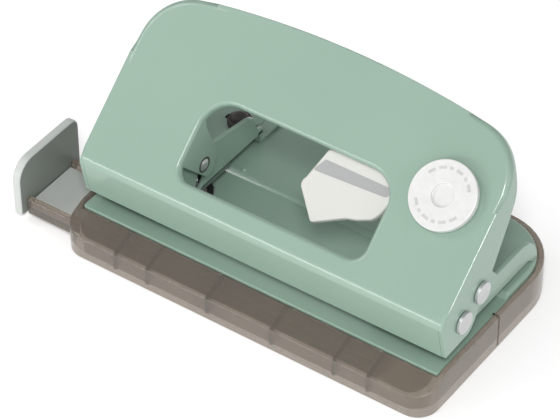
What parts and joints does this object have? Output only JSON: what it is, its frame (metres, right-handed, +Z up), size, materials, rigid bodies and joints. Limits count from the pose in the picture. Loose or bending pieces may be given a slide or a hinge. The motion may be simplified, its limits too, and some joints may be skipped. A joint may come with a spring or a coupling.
{
  "type": "two-hole desk punch",
  "caption": "Desk hole punch: folded green steel handle with a window and lock knob, pressed base on a smoked chip tray, sliding edge gauge.",
  "frame": {"origin": "middle of the chip tray's underside", "axes": "+X along the punch towards the lock knob, +Y from the paper side to the hand side, +Z up"},
  "size_m": [0.1531, 0.0796, 0.0712],
  "materials": {
    "green_enamel": "satin",
    "bright_steel": "satin",
    "tool_steel": "satin",
    "smoked_plastic": "gloss",
    "light_grey_plastic": "matte",
    "white_plastic": "satin",
    "black_rubber": "matte"
  },
  "bodies": {
    "base": {"base_plate": "green_enamel", "left_bracket": "green_enamel", "right_bracket": "green_enamel", "left_guide_plate": "tool_steel", "right_guide_plate": "tool_steel", "left_guide_rivet": "bright_steel", "right_guide_rivet": "bright_steel", "left_bracket_rivet": "bright_steel", "right_bracket_rivet": "bright_steel", "left_die": "tool_steel", "right_die": "tool_steel", "left_bumper": "black_rubber", "right_bumper": "black_rubber", "left_pivot_pin": "bright_steel", "right_pivot_pin": "bright_steel"},
    "tray": {"chip_tray": "smoked_plastic"},
    "gauge": {"gauge_channel": "smoked_plastic", "gauge_scale": "light_grey_plastic", "gauge_end_plate": "light_grey_plastic"},
    "handle": {"handle": "green_enamel", "left_drive_pin": "bright_steel", "right_drive_pin": "bright_steel", "left_return_spring": "bright_steel", "right_return_spring": "bright_steel"},
    "lock": {"lock_knob": "white_plastic", "lock_lever": "white_plastic", "lock_clip": "bright_steel"},
    "left_punch": {"left_punch_pin": "tool_steel"},
    "right_punch": {"right_punch_pin": "tool_steel"}
  },
  "joints": [
    {"name": "handle_hinge", "type": "hinge", "parent": "base", "child": "handle", "pos_m": [0, -0.0194, 0.0244], "axis": [-1, 0, 0], "range_deg": [0, 50], "stiffness_Nm_per_rad": 0.15, "springref_deg": -51.57},
    {"name": "left_punch_slide", "type": "slide", "parent": "base", "child": "left_punch", "axis": [0, 0, -1], "range_m": [0, 0.0092]},
    {"name": "right_punch_slide", "type": "slide", "parent": "base", "child": "right_punch", "axis": [0, 0, -1], "range_m": [0, 0.0092]},
    {"name": "lock_turn", "type": "hinge", "parent": "handle", "child": "lock", "pos_m": [0.0488, -0.00435, 0.05285], "axis": [0, -0.6547, 0.7559], "range_deg": [-25, 0]},
    {"name": "gauge_slide", "type": "slide", "parent": "tray", "child": "gauge", "axis": [-1, 0, 0], "range_m": [-0.016, 0.07]},
    {"name": "tray_release", "type": "slide", "parent": "tray", "child": "base", "axis": [0, 0, 1], "range_m": [0, 0.016]}
  ],
  "couplings": [
    {"joint": "left_punch_slide", "follows": "handle_hinge", "m_per_rad": 0.010071},
    {"joint": "right_punch_slide", "follows": "handle_hinge", "m_per_rad": 0.010071}
  ]
}
